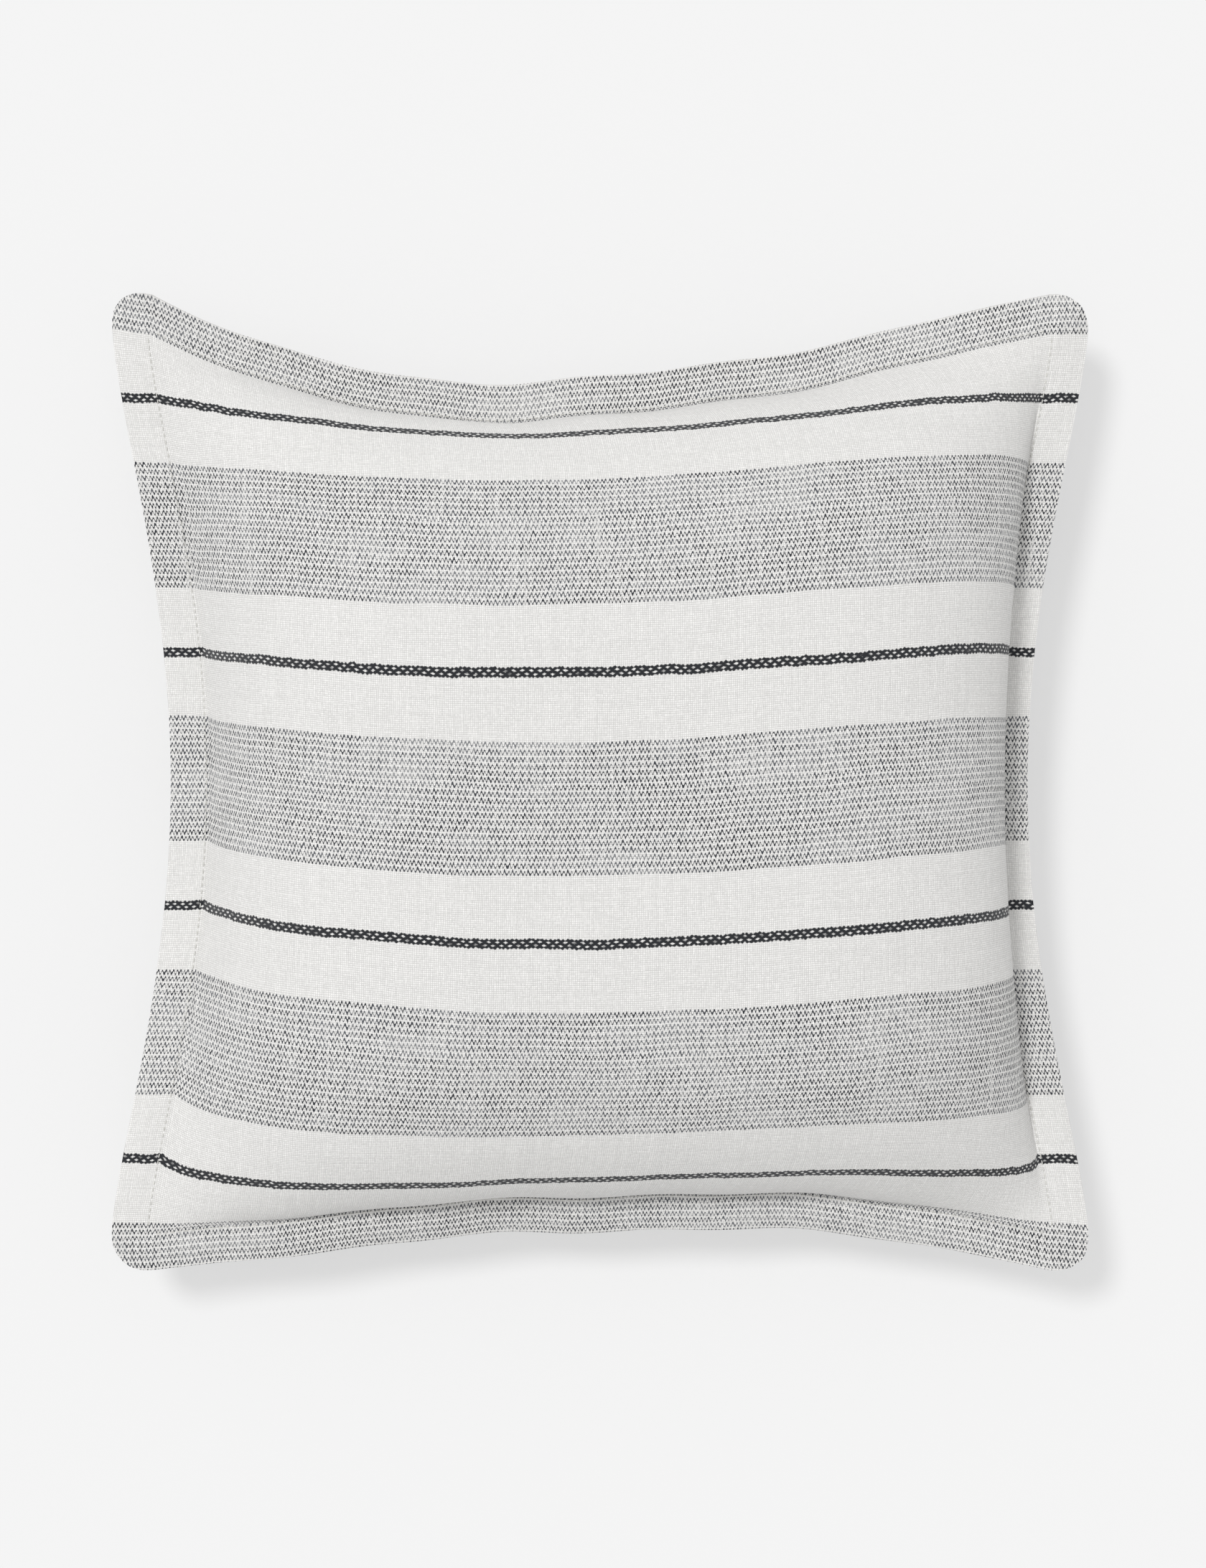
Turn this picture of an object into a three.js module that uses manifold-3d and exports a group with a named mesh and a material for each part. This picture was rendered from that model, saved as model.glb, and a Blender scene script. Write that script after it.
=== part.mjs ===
// A square throw pillow: a flanged woven cover with a lapped zip across its back, and a filled insert inside it.
// Millimetres, +Z up. The pillow lies on its back, its front faces up, and the zip runs along X.
// The origin is on the floor, under the centre of the cover.
import * as THREE from "three";
import { mergeVertices } from "three/addons/utils/BufferGeometryUtils.js";
import Module from "manifold-3d";

const wasm = await Module();
wasm.setup();

// Cover, stuffed: the corners of the seam, and the depth in front of and behind the seam plane.
const SEAM_WIDTH = 460;
const SEAM_HEIGHT = 460;
const FRONT_CROWN = 90;
const BACK_DEPTH = 60;
const FLANGE_WIDTH = 20;
const CLOTH = 0.8;

// How far the stuffing pulls the middle of each side in from the line between its corners.
const PULL_LEFT = 30;
const PULL_RIGHT = 35;
const PULL_TOP = 43;
const PULL_BOTTOM = 18;
const LEAST_FLATNESS = 2.2; // 1 is a dome, and more gives a wider flat patch on the floor
const CORNER_RADIUS = 12; // of the flange's four tips

// Insert: a thin case with a sewn lip, and the filling.
const CASE_CLOTH = 0.5;
const CASE_LIP = 5;
const CASE_INSET = 10; // from the cover's seam to the insert's
const LAYER_GAP = 0.4;
const BACK_LAYER_GAP = 1.2; // room for the label and the bar tacks
const PLY_GAP = 0.3;

// Zip: lapped, in the lower half of the back.
const ZIP_Y = -80;
const ZIP_LENGTH = 300;
const ZIP_TAIL = 8;
const LAP = 11; // how far the upper panel laps past the zip's centre line
const LAP_SLIT = 0.4;
const POCKET = 1.5; // extra height under the chain, where the pull tab lies
const TEETH_THICKNESS = 1.8;
const TEETH_PITCH = 2.5;
const TEETH_AMPLITUDE = 0.8;
const TEETH_BACK_EDGE = 2.1;
const TEETH_GAP = 0.5; // along Y, between the two slanting edges
const TAPE_EDGE = 2.4;
const TAPE_WIDTH = 11.6;
const TAPE_THICKNESS = 0.5;
const STOP_LENGTH = 2;
const CLEAR = 0.3;

// Slider and pull tab.
const SLIDER_LENGTH = 9;
const SLIDER_HALF_WIDTH = 3.9;
const PLATE = 0.8;
const CHANNEL = TEETH_THICKNESS + 2 * CLEAR;
const FLANGE_LIP = 0.6;
const CROWN_ROD = 0.6;
const CROWN_ROOM = 1.5;
const CROWN_HALF_LENGTH = 3;
const CROWN_HALF_WIDTH = 0.6;
const TAB_LENGTH = 16;
const TAB_WIDTH = 4.4;
const TAB_THICKNESS = 0.7;
const TAB_REST_TILT = THREE.MathUtils.degToRad(8); // the tab's tip rests on the lap

// Thread, label and bar tacks.
const THREAD_RADIUS = 0.35;
const STITCH_INSET = 1.5; // of the flange stitching, outside the seam
const LABEL_LENGTH = 40;
const LABEL_WIDTH = 22;
const LABEL_THICKNESS = 0.6;
const LABEL_X = 130;
const TACK_LENGTH = 9;
const TACK_WIDTH = 2.2;
const TACK_THICKNESS = 0.6;

// Heights worked out from the sizes above.
const SEAM_Z = BACK_DEPTH;
const TOP_Z = SEAM_Z + FRONT_CROWN;
const HALF_X = SEAM_WIDTH / 2;
const HALF_Y = SEAM_HEIGHT / 2;
const TAB_Z = CLOTH + 1.6 + POCKET;
const SLIDER_Z = TAB_Z + CROWN_ROOM / 2; // underside of the slider's outer plate
const CHAIN_Z = SLIDER_Z + PLATE + CHANNEL / 2;
const SLIDER_TOP_Z = SLIDER_Z + 2 * PLATE + CHANNEL;
const GROOVE_TOP_Z = SLIDER_TOP_Z + 2 * CLEAR;
const INNER_FACE_Z = CLOTH + CLEAR; // where a piece on the back panels' inner face starts

// Places along the zip.
const ZIP_END = ZIP_LENGTH / 2;
const TAPE_END = ZIP_END + ZIP_TAIL;
const STRIP_END = TAPE_END + 1;
const GROOVE_END = STRIP_END + 3;
const GROOVE_HALF_WIDTH = 20;
const TACK_X = GROOVE_END + TACK_WIDTH / 2 + CLEAR;
const SLIDER_X = ZIP_END - SLIDER_LENGTH / 2 + 0.5;
const DIAMOND_START = SLIDER_X + 1;
const DIAMOND_END = SLIDER_X + 4;
const DIAMOND_HALF_WIDTH = 0.9;
const TEETH_END = DIAMOND_START - CLEAR;

const CELLS = 16; // grid cells across a panel, without its flange
const FLANGE_CELLS = 2;

// The grid line at or past a share of the way from the panel's centre to its seam.
function lineBeyond(share) {
  return Math.sin((Math.ceil((Math.asin(share) / Math.PI) * CELLS) / CELLS) * Math.PI);
}

// The back is flat under the whole zip, bar tacks included, even on the side that is drawn in most.
const flatV = lineBeyond((Math.abs(ZIP_Y) + LAP) / (HALF_Y - PULL_BOTTOM));
const drawnIn = Math.max(PULL_LEFT, PULL_RIGHT) * (1 - flatV ** 2);
const flatU = lineBeyond((TACK_X + TACK_WIDTH / 2 + CLEAR) / (HALF_X - drawnIn));
const flatnessForZip = 1 / Math.sqrt((1 - flatU ** 2) * (1 - flatV ** 2));
const BACK_FLATNESS = Math.max(LEAST_FLATNESS, flatnessForZip);

const pillow = new THREE.Group();

function addPiece(name, geometry, color, roughness, metalness = 0) {
  const material = new THREE.MeshStandardMaterial({ color, roughness, metalness });
  const mesh = new THREE.Mesh(geometry, material);
  mesh.name = name;
  pillow.add(mesh);
  return mesh;
}

// three.js geometry to a manifold solid, and back.
function solidOf(geometry) {
  const bare = new THREE.BufferGeometry();
  bare.setAttribute("position", geometry.getAttribute("position"));
  bare.setIndex(geometry.index);
  const merged = mergeVertices(bare, 1e-4);
  return new wasm.Manifold(
    new wasm.Mesh({
      numProp: 3,
      vertProperties: new Float32Array(merged.attributes.position.array),
      triVerts: new Uint32Array(merged.index.array),
    }),
  );
}

function geometryOf(solid) {
  const mesh = solid.getMesh();
  const geometry = new THREE.BufferGeometry();
  geometry.setAttribute("position", new THREE.BufferAttribute(mesh.vertProperties, 3));
  geometry.setIndex(new THREE.BufferAttribute(mesh.triVerts, 1));
  geometry.computeVertexNormals();
  return geometry;
}

function boxSolid(x, y, z) {
  const geometry = new THREE.BoxGeometry(x[1] - x[0], y[1] - y[0], z[1] - z[0]);
  geometry.translate((x[0] + x[1]) / 2, (y[0] + y[1]) / 2, (z[0] + z[1]) / 2);
  return solidOf(geometry);
}

// A profile of [y, z] points, extruded along X.
function profileAlongX(points, x) {
  const shape = new THREE.Shape(points.map(([y, z]) => new THREE.Vector2(y, z)));
  const geometry = new THREE.ExtrudeGeometry(shape, { depth: x[1] - x[0], bevelEnabled: false });
  const axes = [new THREE.Vector3(0, 1, 0), new THREE.Vector3(0, 0, 1), new THREE.Vector3(1, 0, 0)];
  geometry.applyMatrix4(new THREE.Matrix4().makeBasis(...axes));
  geometry.translate(x[0], 0, 0);
  return geometry;
}

// An outline of [x, y] points, extruded along Z.
function plate(points, z) {
  const shape = new THREE.Shape(points.map(([x, y]) => new THREE.Vector2(x, y)));
  const geometry = new THREE.ExtrudeGeometry(shape, { depth: z[1] - z[0], bevelEnabled: false });
  geometry.translate(0, 0, z[0]);
  return geometry;
}

// One face of one layer of cloth. s and t run from -1 to 1 between the seams, and on to 2 at the flange's edge.
// rest is the height of the top of the crown, or of the flat patch under the back.
function layer({ inset, seamZ, rest, border }) {
  const back = rest < seamZ;
  return (s, t) => {
    const u = THREE.MathUtils.clamp(s, -1, 1);
    const v = THREE.MathUtils.clamp(t, -1, 1);
    const pullX = THREE.MathUtils.mapLinear(u, -1, 1, PULL_LEFT, PULL_RIGHT);
    const pullY = THREE.MathUtils.mapLinear(v, -1, 1, PULL_BOTTOM, PULL_TOP);
    const x = u * (HALF_X - inset - pullX * (1 - v * v));
    const y = v * (HALF_Y - inset - pullY * (1 - u * u));
    const dome = Math.sqrt((1 - u * u) * (1 - v * v));
    const rise = back ? Math.min(1, BACK_FLATNESS * dome) : dome;
    const z = rest + (seamZ - rest) * (1 - rise);
    const [outX, outY] = roundTip((s - u) * border, (t - v) * border, border);
    return new THREE.Vector3(x + outX, y + outY, z);
  };
}

// Pulls a point of the flange's corner square in, so that the tip is round.
function roundTip(x, y, border) {
  const ax = Math.abs(x) - (border - CORNER_RADIUS);
  const ay = Math.abs(y) - (border - CORNER_RADIUS);
  if (border < CORNER_RADIUS || ax <= 0 || ay <= 0) return [x, y];
  const reach = Math.max(ax, ay) / Math.hypot(ax, ay);
  const roundX = border - CORNER_RADIUS + ax * reach;
  const roundY = border - CORNER_RADIUS + ay * reach;
  return [Math.sign(x) * roundX, Math.sign(y) * roundY];
}

// Grid lines, closer together towards the seams, where the cloth turns over.
function gridLines(withBorder) {
  const inner = Array.from({ length: CELLS + 1 }, (_, i) => Math.sin(((i / CELLS) * 2 - 1) * (Math.PI / 2)));
  if (!withBorder) return inner;
  const border = Array.from({ length: FLANGE_CELLS }, (_, i) => 1 + (i + 1) / FLANGE_CELLS);
  return [...border.map((b) => -b).reverse(), ...inner, ...border];
}

// A closed skin between an upper and a lower face over the same grid. Where they meet at the rim, they share it.
function skin(upper, lower, lines) {
  const n = lines.length;
  const positions = [];
  const index = [];
  for (const face of [upper, lower]) {
    for (const t of lines) {
      for (const s of lines) positions.push(...face(s, t).toArray());
    }
  }
  const at = (side, i, j) => side * n * n + j * n + i;
  const quad = (a, b, c, d) => index.push(a, b, c, a, c, d);
  const middle = (n - 2) / 2;
  for (let j = 0; j + 1 < n; j++) {
    for (let i = 0; i + 1 < n; i++) {
      const up = [at(0, i, j), at(0, i + 1, j), at(0, i + 1, j + 1), at(0, i, j + 1)];
      const down = [at(1, i, j), at(1, i, j + 1), at(1, i + 1, j + 1), at(1, i + 1, j)];
      // Each cell is split along the diagonal that points to the nearest corner.
      const turned = (i - middle) * (j - middle) < 0;
      for (const cell of [up, down]) {
        if (turned) cell.push(cell.shift());
        quad(...cell);
      }
    }
  }
  for (let i = 0; i + 1 < n; i++) {
    quad(at(1, i, 0), at(1, i + 1, 0), at(0, i + 1, 0), at(0, i, 0));
    quad(at(0, i, n - 1), at(0, i + 1, n - 1), at(1, i + 1, n - 1), at(1, i, n - 1));
    quad(at(0, 0, i), at(0, 0, i + 1), at(1, 0, i + 1), at(1, 0, i));
    quad(at(1, n - 1, i), at(1, n - 1, i + 1), at(0, n - 1, i + 1), at(0, n - 1, i));
  }
  const geometry = new THREE.BufferGeometry();
  geometry.setAttribute("position", new THREE.Float32BufferAttribute(positions, 3));
  geometry.setIndex(index);
  return geometry;
}

// The cover's panels. Above the seam plane the outer face is on top, and below it the inner one is.
function frontPanel() {
  const ply = SEAM_Z + PLY_GAP / 2;
  const outer = layer({ inset: 0, seamZ: ply + CLOTH, rest: TOP_Z, border: FLANGE_WIDTH });
  const inner = layer({ inset: CLOTH, seamZ: ply, rest: TOP_Z - CLOTH, border: FLANGE_WIDTH + CLOTH });
  return skin(outer, inner, gridLines(true));
}

function wholeBack() {
  const ply = SEAM_Z - PLY_GAP / 2;
  const outer = layer({ inset: 0, seamZ: ply - CLOTH, rest: 0, border: FLANGE_WIDTH });
  const inner = layer({ inset: CLOTH, seamZ: ply, rest: CLOTH, border: FLANGE_WIDTH + CLOTH });
  return solidOf(skin(inner, outer, gridLines(true)));
}

const FAR = SEAM_WIDTH + SEAM_HEIGHT;
const LAP_EDGE = ZIP_Y - LAP;

function upperBackPanel() {
  const keep = boxSolid([-FAR, FAR], [LAP_EDGE, FAR], [-FAR, FAR]);
  return geometryOf(wholeBack().intersect(keep));
}

// The lower panel's edge steps up behind the lap, to the zip's lower tape.
function lowerBackPanel() {
  const keep = boxSolid([-FAR, FAR], [-FAR, LAP_EDGE - LAP_SLIT], [-FAR, FAR]);
  const cutStart = ZIP_Y - GROOVE_HALF_WIDTH;
  const opening = boxSolid([-STRIP_END, STRIP_END], [cutStart, FAR], [-FAR, FAR]);
  const foldTop = CHAIN_Z - TAPE_THICKNESS / 2 - CLEAR;
  const edge = ZIP_Y - SLIDER_HALF_WIDTH - 4 * CLEAR;
  const foldBack = edge - 4.4;
  const foot = foldBack - 5.5;
  const strip = profileAlongX(
    [
      [cutStart - 4, 0],
      [foot, 0],
      [foldBack, foldTop - CLOTH],
      [edge, foldTop - CLOTH],
      [edge, foldTop],
      [foldBack, foldTop],
      [foot, CLOTH],
      [cutStart - 4, CLOTH],
    ],
    [-STRIP_END, STRIP_END],
  );
  return geometryOf(wholeBack().intersect(keep).subtract(opening).add(solidOf(strip)));
}

// A thread along one side of the flange, just outside the seam.
function flangeThread(side) {
  const height = SEAM_Z + PLY_GAP / 2 + CLOTH + CLEAR + THREAD_RADIUS;
  const face = layer({ inset: 0, seamZ: height, rest: TOP_Z, border: FLANGE_WIDTH });
  const beside = 1 + STITCH_INSET / FLANGE_WIDTH;
  const points = [];
  for (let i = 0; i <= 12; i++) {
    const along = THREE.MathUtils.mapLinear(i, 0, 12, -0.995, 0.995);
    const point = {
      top: () => face(along, beside),
      bottom: () => face(along, -beside),
      left: () => face(-beside, along),
      right: () => face(beside, along),
    }[side]();
    points.push(point);
  }
  return threadAlong(new THREE.CatmullRomCurve3(points), 30);
}

function threadAlong(curve, steps) {
  const section = new THREE.Shape();
  for (let i = 0; i < 6; i++) {
    const angle = (i / 6) * 2 * Math.PI;
    const x = THREAD_RADIUS * Math.cos(angle);
    const y = THREAD_RADIUS * Math.sin(angle);
    if (i) section.lineTo(x, y);
    else section.moveTo(x, y);
  }
  return new THREE.ExtrudeGeometry(section, { steps, extrudePath: curve, bevelEnabled: false });
}

function straightThread(y, z) {
  const start = new THREE.Vector3(-TAPE_END + 2, y, z);
  const end = new THREE.Vector3(TAPE_END - 2, y, z);
  return threadAlong(new THREE.LineCurve3(start, end), 1);
}

// The room that the insert leaves for the zip, grown by a margin.
function zipRoom(margin) {
  return boxSolid(
    [-GROOVE_END - margin, GROOVE_END + margin],
    [ZIP_Y - GROOVE_HALF_WIDTH - margin, ZIP_Y + GROOVE_HALF_WIDTH + margin],
    [-SEAM_Z, GROOVE_TOP_Z + margin],
  );
}

const CASE_TOP_Z = TOP_Z - CLOTH - LAYER_GAP;
const CASE_FLOOR_Z = CLOTH + BACK_LAYER_GAP;

function caseFront() {
  const ply = SEAM_Z + PLY_GAP / 2;
  const outer = layer({ inset: CASE_INSET, seamZ: ply + CASE_CLOTH, rest: CASE_TOP_Z, border: CASE_LIP });
  const inner = layer({
    inset: CASE_INSET + CASE_CLOTH,
    seamZ: ply,
    rest: CASE_TOP_Z - CASE_CLOTH,
    border: CASE_LIP + CASE_CLOTH,
  });
  return skin(outer, inner, gridLines(true));
}

function caseBack() {
  const ply = SEAM_Z - PLY_GAP / 2;
  const outer = layer({ inset: CASE_INSET, seamZ: ply - CASE_CLOTH, rest: CASE_FLOOR_Z, border: CASE_LIP });
  const inner = layer({
    inset: CASE_INSET + CASE_CLOTH,
    seamZ: ply,
    rest: CASE_FLOOR_Z + CASE_CLOTH,
    border: CASE_LIP + CASE_CLOTH,
  });
  const below = boxSolid([-FAR, FAR], [-FAR, FAR], [-FAR, CASE_FLOOR_Z]);
  const liner = zipRoom(CASE_CLOTH).subtract(zipRoom(0)).subtract(below);
  const whole = solidOf(skin(inner, outer, gridLines(true)));
  return geometryOf(whole.subtract(zipRoom(0)).add(liner));
}

// The flat band of overlock thread that holds the two halves of the case together, on top of its lip.
function caseSeam() {
  const ply = SEAM_Z + PLY_GAP / 2 + CASE_CLOTH + CLEAR;
  const face = layer({ inset: CASE_INSET, seamZ: ply, rest: TOP_Z, border: CASE_LIP });
  const loop = (out) => {
    const points = [];
    const corners = [[-1, -1], [1, -1], [1, 1], [-1, 1]];
    corners.forEach(([s0, t0], side) => {
      const [s1, t1] = corners[(side + 1) % 4];
      for (let i = 0; i < CELLS; i++) {
        const k = (1 - Math.cos((i / CELLS) * Math.PI)) / 2;
        const s = THREE.MathUtils.lerp(s0, s1, k);
        const t = THREE.MathUtils.lerp(t0, t1, k);
        const p = face(Math.abs(s) === 1 ? s * out : s, Math.abs(t) === 1 ? t * out : t);
        points.push(new THREE.Vector2(p.x, p.y));
      }
    });
    return points;
  };
  const shape = new THREE.Shape(loop(1.6));
  shape.holes.push(new THREE.Path(loop(1.4)));
  const geometry = new THREE.ExtrudeGeometry(shape, { depth: CASE_CLOTH, bevelEnabled: false });
  geometry.translate(0, 0, ply);
  return geometry;
}

function fillCore() {
  const inset = CASE_INSET + CASE_CLOTH + LAYER_GAP;
  const top = layer({ inset, seamZ: SEAM_Z, rest: CASE_TOP_Z - CASE_CLOTH - LAYER_GAP, border: 0 });
  const bottom = layer({ inset, seamZ: SEAM_Z, rest: CASE_FLOOR_Z + CASE_CLOTH + LAYER_GAP, border: 0 });
  const whole = solidOf(skin(top, bottom, gridLines(false)));
  return geometryOf(whole.subtract(zipRoom(CASE_CLOTH + LAYER_GAP)));
}

// The upper tape comes down from the chain and lies on the lapping panel; the lower one stays level on the fold.
function tape(points) {
  const half = TAPE_THICKNESS / 2;
  const above = points.map(([y, z]) => [y, z + half]);
  const below = points.map(([y, z]) => [y, z - half]).reverse();
  return profileAlongX([...below, ...above], [-TAPE_END, TAPE_END]);
}

const LANDING_Z = INNER_FACE_Z + TAPE_THICKNESS / 2;

function upperTape() {
  const bend = SLIDER_HALF_WIDTH + 3 * CLEAR;
  return tape([
    [ZIP_Y + TAPE_EDGE, CHAIN_Z],
    [ZIP_Y + bend, CHAIN_Z],
    [ZIP_Y + bend + 4.8, LANDING_Z],
    [ZIP_Y + TAPE_EDGE + TAPE_WIDTH, LANDING_Z],
  ]);
}

function lowerTape() {
  return tape([
    [ZIP_Y - TAPE_EDGE - TAPE_WIDTH, CHAIN_Z],
    [ZIP_Y - TAPE_EDGE, CHAIN_Z],
  ].reverse());
}

// A row of teeth with a zigzag meshing edge; side is 1 for the upper row and -1 for the lower one.
function teethRow(side) {
  const start = -ZIP_END;
  const count = Math.floor((TEETH_END - start) / (TEETH_PITCH / 2));
  const points = [];
  for (let i = 0; i <= count; i++) {
    const peak = i % 2 ? TEETH_AMPLITUDE : -TEETH_AMPLITUDE;
    points.push([start + (i * TEETH_PITCH) / 2, ZIP_Y + peak + (side * TEETH_GAP) / 2]);
  }
  const end = points.at(-1)[0];
  points.push([end, ZIP_Y + side * TEETH_BACK_EDGE], [start, ZIP_Y + side * TEETH_BACK_EDGE]);
  return plate(points, [CHAIN_Z - TEETH_THICKNESS / 2, CHAIN_Z + TEETH_THICKNESS / 2]);
}

function topStop(side) {
  const x = [DIAMOND_START + CLEAR, DIAMOND_START + CLEAR + STOP_LENGTH];
  const y = [ZIP_Y + side * (DIAMOND_HALF_WIDTH + CLEAR), ZIP_Y + side * TEETH_BACK_EDGE];
  const height = TEETH_THICKNESS / 2;
  return geometryOf(boxSolid(x, y.sort((a, b) => a - b), [CHAIN_Z - height, CHAIN_Z + height]));
}

function bottomStop() {
  const x = [-ZIP_END - CLEAR - STOP_LENGTH, -ZIP_END - CLEAR];
  const y = [ZIP_Y - TEETH_BACK_EDGE, ZIP_Y + TEETH_BACK_EDGE];
  const height = CHANNEL / 2;
  return geometryOf(boxSolid(x, y, [CHAIN_Z - height, CHAIN_Z + height]));
}

function sliderBody() {
  const rear = SLIDER_X - SLIDER_LENGTH / 2;
  const nose = SLIDER_X + SLIDER_LENGTH / 2;
  const wide = SLIDER_HALF_WIDTH;
  const narrow = SLIDER_HALF_WIDTH - 0.6;
  const outline = [
    [rear, ZIP_Y - narrow],
    [SLIDER_X, ZIP_Y - wide],
    [nose - 1, ZIP_Y - wide],
    [nose, ZIP_Y - narrow + 0.6],
    [nose, ZIP_Y + narrow - 0.6],
    [nose - 1, ZIP_Y + wide],
    [SLIDER_X, ZIP_Y + wide],
    [rear, ZIP_Y + narrow],
  ];
  const lowPlate = solidOf(plate(outline, [SLIDER_Z, SLIDER_Z + PLATE]));
  const highPlate = solidOf(plate(outline, [SLIDER_TOP_Z - PLATE, SLIDER_TOP_Z]));
  const inside = TEETH_BACK_EDGE + 2 * CLEAR;
  let body = lowPlate.add(highPlate);
  for (const side of [-1, 1]) {
    const y = [ZIP_Y + side * inside, ZIP_Y + side * narrow].sort((a, b) => a - b);
    const lowLip = [SLIDER_Z + PLATE / 2, SLIDER_Z + PLATE + FLANGE_LIP];
    const highLip = [SLIDER_TOP_Z - PLATE - FLANGE_LIP, SLIDER_TOP_Z - PLATE / 2];
    body = body.add(boxSolid([rear, nose - 1], y, lowLip)).add(boxSolid([rear, nose - 1], y, highLip));
  }
  const middle = (DIAMOND_START + DIAMOND_END) / 2;
  const diamond = [
    [DIAMOND_START, ZIP_Y],
    [middle, ZIP_Y - DIAMOND_HALF_WIDTH],
    [DIAMOND_END, ZIP_Y],
    [middle, ZIP_Y + DIAMOND_HALF_WIDTH],
  ];
  const wedge = solidOf(plate(diamond, [SLIDER_Z + PLATE / 2, SLIDER_TOP_Z - PLATE / 2]));
  return geometryOf(body.add(wedge).add(crown()));
}

// The bridge on the slider's outer plate, which holds the pull tab's eye.
function crown() {
  const x = [SLIDER_X - CROWN_HALF_LENGTH, SLIDER_X + CROWN_HALF_LENGTH];
  const y = [ZIP_Y - CROWN_HALF_WIDTH, ZIP_Y + CROWN_HALF_WIDTH];
  const low = SLIDER_Z - CROWN_ROOM;
  const bridge = boxSolid(x, y, [low - CROWN_ROD, SLIDER_Z + PLATE / 2]);
  const eye = boxSolid([x[0] + CROWN_ROD, x[1] - CROWN_ROD], [y[0] - 1, y[1] + 1], [low, SLIDER_Z]);
  return bridge.subtract(eye);
}

// Drawn flat around its pivot at the local origin, pointing along -X.
function pullTab() {
  const half = TAB_WIDTH / 2;
  const bar = 0.5;
  const shape = new THREE.Shape();
  shape.moveTo(bar, -half + bar);
  shape.lineTo(bar, half - bar);
  shape.lineTo(0, half);
  shape.lineTo(-TAB_LENGTH + half, half);
  shape.absarc(-TAB_LENGTH + half, 0, half, Math.PI / 2, (3 * Math.PI) / 2, false);
  shape.lineTo(0, -half);
  shape.closePath();
  const windowEnd = -CROWN_HALF_LENGTH - 2 * CLEAR;
  const windowHalf = CROWN_HALF_WIDTH + CLEAR;
  const eye = new THREE.Path();
  eye.moveTo(-bar, -windowHalf);
  eye.lineTo(windowEnd, -windowHalf);
  eye.lineTo(windowEnd, windowHalf);
  eye.lineTo(-bar, windowHalf);
  eye.closePath();
  shape.holes.push(eye);
  const geometry = new THREE.ExtrudeGeometry(shape, {
    depth: TAB_THICKNESS,
    bevelEnabled: false,
    curveSegments: 8,
  });
  geometry.translate(0, 0, -TAB_THICKNESS / 2);
  return geometry;
}

function barTack(side) {
  const x = [side * TACK_X - TACK_WIDTH / 2, side * TACK_X + TACK_WIDTH / 2];
  const y = [LAP_EDGE - TACK_LENGTH / 2, LAP_EDGE + TACK_LENGTH / 2];
  return geometryOf(boxSolid(x, y, [INNER_FACE_Z, INNER_FACE_Z + TACK_THICKNESS]));
}

function careLabel() {
  const x = [LABEL_X - LABEL_WIDTH / 2, LABEL_X + LABEL_WIDTH / 2];
  const low = ZIP_Y + GROOVE_HALF_WIDTH + 2;
  return geometryOf(boxSolid(x, [low, low + LABEL_LENGTH], [INNER_FACE_Z, INNER_FACE_Z + LABEL_THICKNESS]));
}

const STRIPED = 0xc9cacb;
const THREAD = 0xe6e4df;
const CASE_WHITE = 0xf2f0ea;
const TAPE_GREY = 0xb9bbbe;
const METAL = 0xb4b6b8;

addPiece("front_panel", frontPanel(), STRIPED, 0.95);
addPiece("back_panel_upper", upperBackPanel(), STRIPED, 0.95);
addPiece("back_panel_lower", lowerBackPanel(), STRIPED, 0.95);
for (const side of ["top", "bottom", "left", "right"]) {
  addPiece("flange_stitch_" + side, flangeThread(side), THREAD, 0.9);
}

addPiece("insert_case_front", caseFront(), CASE_WHITE, 0.9);
addPiece("insert_case_back", caseBack(), CASE_WHITE, 0.9);
addPiece("insert_seam_stitch", caseSeam(), THREAD, 0.9);
addPiece("fill_core", fillCore(), 0xf8f7f3, 1);

addPiece("zip_tape_upper", upperTape(), TAPE_GREY, 0.85);
addPiece("zip_tape_lower", lowerTape(), TAPE_GREY, 0.85);
addPiece("zip_teeth_upper", teethRow(1), TAPE_GREY, 0.45);
addPiece("zip_teeth_lower", teethRow(-1), TAPE_GREY, 0.45);
addPiece("zip_top_stop_upper", topStop(1), METAL, 0.35, 0.9);
addPiece("zip_top_stop_lower", topStop(-1), METAL, 0.35, 0.9);
addPiece("zip_bottom_stop", bottomStop(), METAL, 0.35, 0.9);
addPiece("zip_slider_body", sliderBody(), METAL, 0.35, 0.9);
const tab = addPiece("zip_pull_tab", pullTab(), METAL, 0.35, 0.9);
tab.position.set(SLIDER_X, ZIP_Y, TAB_Z);
tab.rotation.y = -TAB_REST_TILT;

const STITCH_Z = THREAD_RADIUS + CLEAR;
const UPPER_STITCH_Y = ZIP_Y + TAPE_EDGE + TAPE_WIDTH - 2;
const LOWER_STITCH_Y = ZIP_Y - TAPE_EDGE - 5;
const upperStitch = straightThread(UPPER_STITCH_Y, LANDING_Z + TAPE_THICKNESS / 2 + STITCH_Z);
const lowerStitch = straightThread(LOWER_STITCH_Y, CHAIN_Z + TAPE_THICKNESS / 2 + STITCH_Z);
addPiece("zip_stitch_upper", upperStitch, THREAD, 0.9);
addPiece("zip_stitch_lower", lowerStitch, THREAD, 0.9);
addPiece("bar_tack_left", barTack(-1), THREAD, 0.9);
addPiece("bar_tack_right", barTack(1), THREAD, 0.9);
addPiece("care_label", careLabel(), 0xf6f5f2, 0.8);

export default pillow;
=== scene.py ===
import math

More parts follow.
